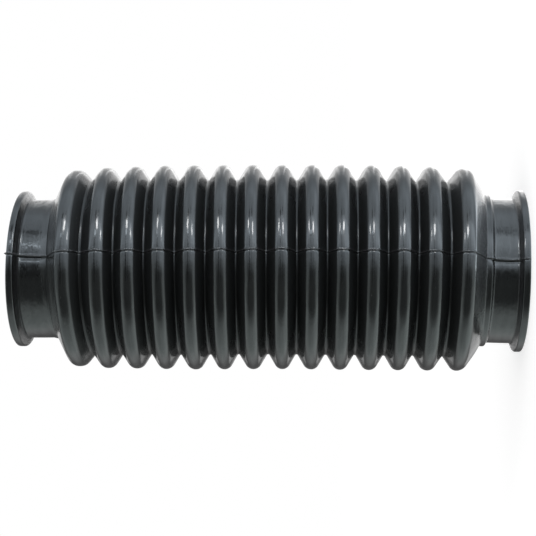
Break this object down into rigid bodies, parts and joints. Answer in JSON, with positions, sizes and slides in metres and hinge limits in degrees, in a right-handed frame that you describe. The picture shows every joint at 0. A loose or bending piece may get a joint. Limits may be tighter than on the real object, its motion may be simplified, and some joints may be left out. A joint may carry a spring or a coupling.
{
  "type": "rubber bellows boot",
  "caption": "Round rubber bellows boot: a row of folds between two clamp cuffs, each with a flange lip at its mouth and a shoulder ring.",
  "frame": {"origin": "centre of the larger cuff's flange face, on which the boot stands", "axes": "+Z along the boot's axis, from the larger cuff up to the smaller one; the boot is round, so X and Y are free"},
  "size_m": [0.0628, 0.0628, 0.1535],
  "materials": {
    "rubber": "black moulded rubber, satin, with a faint cool sheen"
  },
  "bodies": {
    "root": {"bellows_boot": "rubber"}
  },
  "joints": []
}
